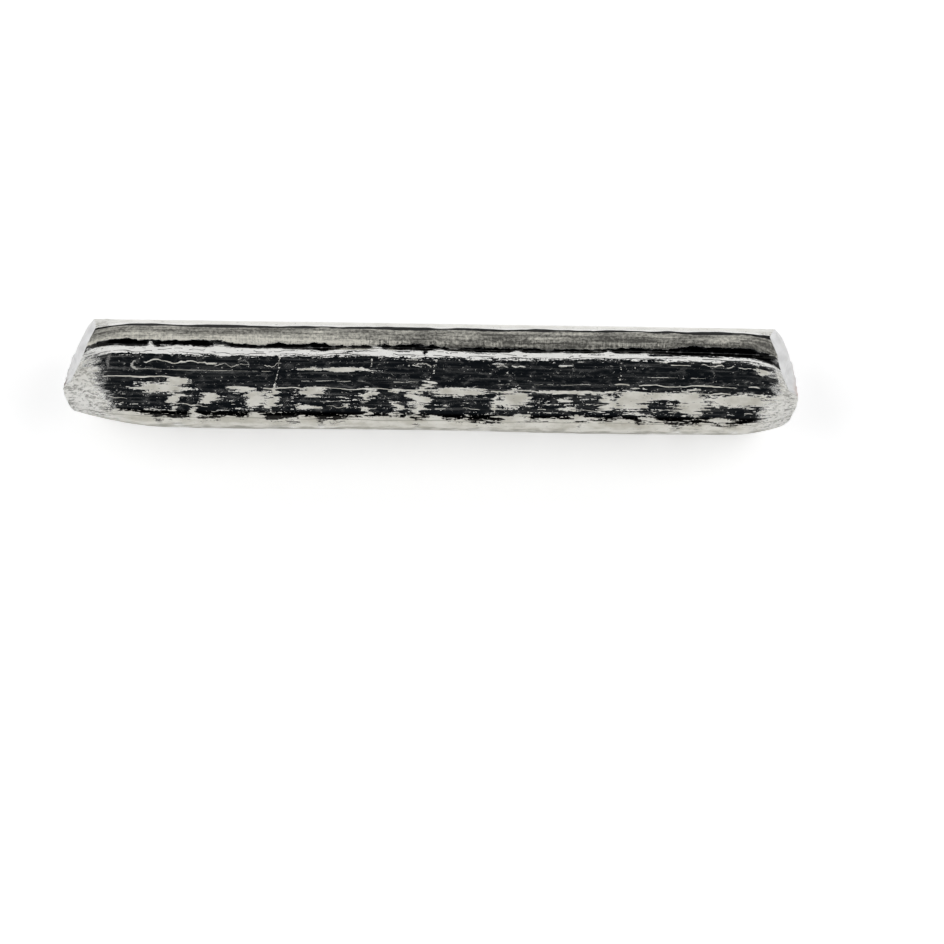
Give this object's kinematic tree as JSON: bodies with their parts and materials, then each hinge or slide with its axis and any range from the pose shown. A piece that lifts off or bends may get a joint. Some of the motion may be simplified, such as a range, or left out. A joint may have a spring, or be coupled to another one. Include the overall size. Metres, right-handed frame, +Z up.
{
  "type": "tin ingot",
  "caption": "Short cast bar of bulk tin with a soft trapezoid section and both ends chopped to a ridge, for melting and casting.",
  "frame": {"origin": "under the middle of the bar, on the flat face that lay on the mould's floor", "axes": "+X along the bar, +Y to the side with the cold shut, +Z up to the open face"},
  "size_m": [0.11, 0.0164, 0.0131],
  "materials": {
    "tin": "as-cast tin: mirror-bright pools between dull grey oxide streaks along the bar, bright smooth chopped ends"
  },
  "bodies": {
    "root": {"ingot": "tin"}
  },
  "joints": []
}
